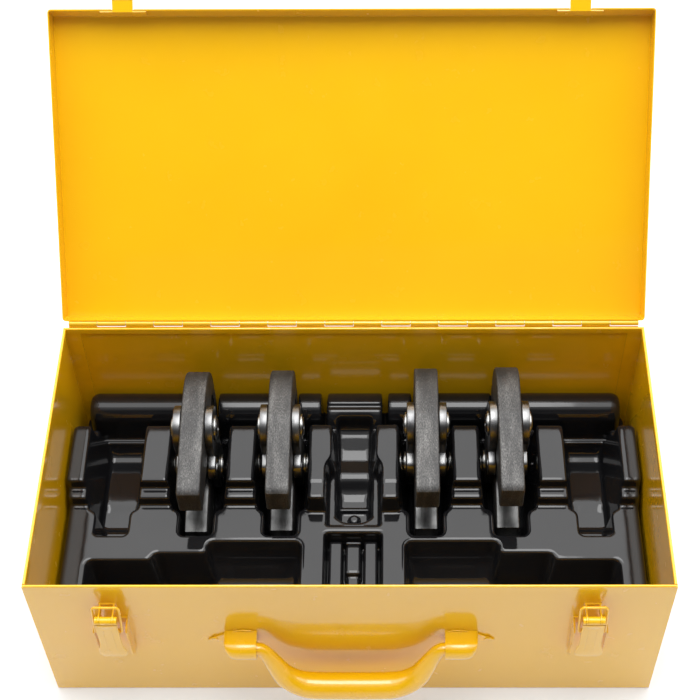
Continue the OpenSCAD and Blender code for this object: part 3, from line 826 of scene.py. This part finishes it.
def build_latch(side, x):
    face = PIVOT_Y - CURL
    half = [(8.5, 139), (8.5, 130), (8.5, 112), (8.8, 107), (10, 101), (10.7, 97), (10.6, 94),
            (9.5, 91.4), (7.4, 90.4), (3.5, 90.1)]
    outline = [(u, v) for u, v in half] + [(-u, v) for u, v in reversed(half)]
    pieces = [panel("lever_plate", [outline], face + 0.62, 1.15, 0.25, PAINT)]
    # rolled rim round the plate's free edge
    rim = [(u - 0.55, face + 0.75, v) for u, v in half[:-1]]
    rim += [(-u + 0.55, face + 0.75, v) for u, v in reversed(half[:-1])]
    pieces.append(tube("lever_rim", smooth_path(rim, 4), 0.72, PAINT, 10))
    for line in (-3.2, 3.2):
        pieces.append(
            tube("lever_rib", [(line, face + 0.12, 131), (line * 1.15, face + 0.12, 99)],
                 [0.32, 0.32], PAINT, 8)
        )
    for centre, length in ((0, 9.3), (-7.35, 2.5), (7.35, 2.5)):
        a = length / 2
        roll = lathe(
            "lever_roll",
            [(-a, 1.5), (-a, CURL - 0.25), (-a + 0.25, CURL), (a - 0.25, CURL), (a, CURL - 0.25),
             (a, 1.5)],
            PAINT, 40,
        )
        pieces.append(moved(roll, centre, PIVOT_Y, PIVOT_Z))
    # lip where the rolled sheet meets the plate
    pieces.append(
        panel("lever_lip", [[(-6.5, 138.5), (6.5, 138.5), (4.8, 135), (0, 133.6), (-4.8, 135)]],
              face + 0.2, 0.9, 0.25, PAINT)
    )
    for s in (-1, 1):
        ear = plate(
            "lever_ear",
            [[(face + 0.6, BAIL_Z - 4), (PIVOT_Y + 1.2, BAIL_Z - 3),
              *arc((PIVOT_Y, BAIL_Z), 2.7, -40, 60, 8), (face + 0.6, BAIL_Z + 5)]],
            1.15, 0.25, PAINT, 2,
        )
        pieces.append(moved(ear, s * 8))
    lever = moved(join(f"lever_{side}", pieces), x)
    shade(lever)
    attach(lever, f"latch_{side}")
    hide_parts(f"latch_lever_{side}")
    top_y, top_z, leg = FRONT - 8, PIVOT_Z + 9.5, 10.3
    way = [(7.3, PIVOT_Y, BAIL_Z), (9.5, PIVOT_Y, BAIL_Z), (10.2, PIVOT_Y + 0.2, BAIL_Z + 0.9),
           (leg, PIVOT_Y + 0.6, BAIL_Z + 2.5), (leg, PIVOT_Y + 2.9, BAIL_Z + 12.5),
           (leg, PIVOT_Y + 5.1, top_z - 4), (leg - 0.5, PIVOT_Y + 5.7, top_z - 1.5),
           (leg - 1.9, top_y, top_z - 0.1), (leg - 4, top_y, top_z)]
    loop = [(-u, v, w) for u, v, w in way] + [(u, v, w) for u, v, w in reversed(way)]
    bail = moved(tube(f"bail_wire_{side}", smooth_path(loop, 5), 1.12, PAINT, 16), x)
    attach(bail, f"bail_{side}")
    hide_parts(f"latch_bail_{side}")


for side, x in (("left", -LATCH_X), ("right", LATCH_X)):
    build_latch(side, x)

HANDLE_Y, HANDLE_Z = FRONT - 12, 92.5
BARREL = 8.5
ARM = ((0, 43.9, 11.2), (12, 43.9, 11.2), (24, 43.7, 11.2), (34, 42.9, 11.1), (42, 40.4, 10.4),
       (49, 36, 9.8), (54.5, 30, 9), (58.5, 23, 8), (62, 16, 7.1), (65.5, 9, 6.2),
       (68.5, 3.8, 5.6), (71.3, 0.9, 5.3), (73.3, 0, 5.2), (79, 0, 5.2), (96, 0, 5.2))


def build_grip():
    path = smooth_path([Vector((u, r, -drop)) for u, drop, r in ARM], 4)
    ends = [(p.x, p.z, p.y) for p in path]
    bow = [(-u, v, r) for u, v, r in reversed(ends[1:])] + ends
    grip = tube("grip", [(u, 0, v) for u, v, r in bow], [r for u, v, r in bow], PAINT, 40)
    lean = Matrix.Rotation(math.radians(-14), 4, "X")
    grip.data.transform(lean)
    moved(grip, 0, HANDLE_Y, HANDLE_Z)
    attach(grip, "handle")
    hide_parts("handle_grip")


def build_bracket(side, sign):
    """Sheet folded over the end of the grip, with a wing that runs out along the front."""
    section = [(FRONT - 0.1, 101), (FRONT - 4, 101.2)]
    section += arc((HANDLE_Y, HANDLE_Z), BARREL - 0.05, 78, 270, 28)
    section += [(FRONT - 4, 84.1), (FRONT - 0.1, 84.1)]
    n = len(section)
    vertices, faces = [], []
    stations = [(74.8, 0.985), (75.2, 1), (90, 1), (95.5, 0.985), (98.5, 0.94), (100.3, 0.86),
                (100.9, 0.76)]
    for x, k in stations:
        for y, z in section:
            taper = (101 - z) / 17 * 5.5 * max(0.0, (x - 88) / 13)
            vertices.append(
                ((x - taper) * MM, (FRONT + (y - FRONT) * k) * MM, (93 + (z - 93) * k) * MM)
            )
    for i in range(len(stations) - 1):
        for j in range(n):
            m = (j + 1) % n
            faces.append((i * n + j, i * n + m, (i + 1) * n + m, (i + 1) * n + j))
    # inner end with the hole the grip turns in, outer end closed
    hole = len(vertices)
    for x, r in ((74.8, 5.75), (78, 5.75)):
        for j in range(32):
            a = 2 * math.pi * j / 32
            vertices.append(
                (x * MM, (HANDLE_Y + r * math.cos(a)) * MM, (HANDLE_Z + r * math.sin(a)) * MM)
            )
    for j in range(32):
        m = (j + 1) % 32
        faces.append((hole + j, hole + 32 + j, hole + 32 + m, hole + m))
    faces.append(tuple((len(stations) - 1) * n + j for j in range(n)))
    barrel = mesh_object("barrel", vertices, faces, PAINT)
    bm = bmesh.new()
    bm.from_mesh(barrel.data)
    bm.verts.ensure_lookup_table()
    rim = [e for e in bm.edges
           if e.is_boundary and all(abs(v.co.x - 0.0748) < 2e-6 for v in e.verts)]
    bmesh.ops.triangle_fill(bm, edges=rim, use_beauty=True)
    bmesh.ops.recalc_face_normals(bm, faces=bm.faces)
    bm.to_mesh(barrel.data)
    bm.free()
    shade(barrel)
    wing = [(74.8, 84.2), (97, 84.2), (106, 85.4), (114.4, 86.6), (114.9, 87.6), (114.3, 88.6)]
    wing += [(107, 93.6), (99, 98.6), (92, 101.8), (86, 103.2), (80, 102.6), (76, 100.4),
             (74.8, 97.5)]
    flange = panel("wing", [round_corners([(u, v, 0.8) for u, v in wing], 3)],
                   FRONT - 0.79, 1.45, 0.35, PAINT)
    whole = join(f"bracket_{side}", [barrel, flange])
    if sign < 0:
        apply(whole, Matrix.Diagonal((-1, 1, 1, 1)))
    shade(whole)
    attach(whole, "case")
    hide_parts(f"handle_bracket_{side}")


build_grip()
build_bracket("left", -1)
build_bracket("right", 1)

# ------------------------------------------------------------------ CAD pieces that stay


def paint_node(node, material, edge=0.0, segments=2):
    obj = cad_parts[node]
    if not obj.material_slots:
        obj.data.materials.append(material)
    for slot in obj.material_slots:
        slot.material = material
    if edge:
        bevel = obj.modifiers.new("edges", "BEVEL")
        bevel.width = edge * MM
        bevel.segments = segments
        bevel.limit_method = "ANGLE"
        bevel.angle_limit = math.radians(40)
        bevel.harden_normals = False


for node in ("body_wrap", "end_panel_left", "end_panel_right"):
    paint_node(node, PAINT, 0.25)
for node in ("lid_shell", "keeper_left", "keeper_right"):
    paint_node(node, PAINT, 0.3)
for node in ("hinge_body_leaf", "hinge_lid_leaf", "latch_rivets", "handle_rivets"):
    paint_node(node, PAINT)
for side in ("left", "right"):
    paint_node(f"latch_base_{side}", PAINT, 0.3)
    paint_node(f"latch_pin_{side}", DULL)
paint_node("hinge_pin", DULL)
